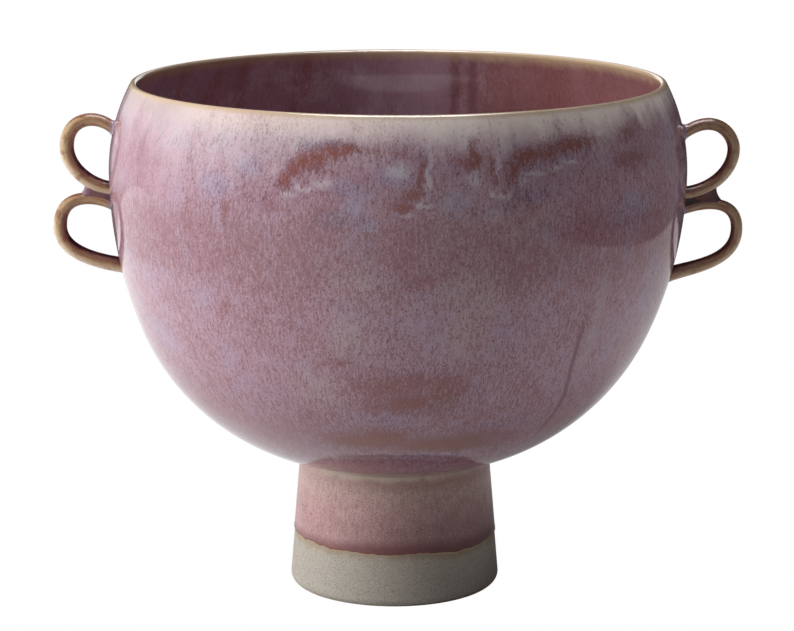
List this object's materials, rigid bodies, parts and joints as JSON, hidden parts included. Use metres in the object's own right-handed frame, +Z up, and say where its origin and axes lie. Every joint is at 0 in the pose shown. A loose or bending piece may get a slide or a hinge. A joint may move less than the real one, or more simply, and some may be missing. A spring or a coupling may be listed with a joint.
{
  "type": "footed bowl",
  "caption": "Round glazed bowl on a hollow conical foot, with a double-loop coil handle on each side.",
  "frame": {"origin": "on the bowl's axis, at the plane that the foot rests on", "axes": "+Z up along the axis, X across the two handles, the pictured side faces -Y"},
  "size_m": [0.2952, 0.2456, 0.2199],
  "materials": {
    "bowl_glaze": "gloss",
    "foot_glaze": "satin",
    "coil_glaze": "gloss",
    "web_glaze": "gloss"
  },
  "bodies": {
    "root": {"bowl": "bowl_glaze", "foot": "foot_glaze", "left_upper_loop": "coil_glaze", "left_lower_loop": "coil_glaze", "right_upper_loop": "coil_glaze", "right_lower_loop": "coil_glaze", "left_joining_web": "web_glaze", "right_joining_web": "web_glaze"}
  },
  "joints": []
}
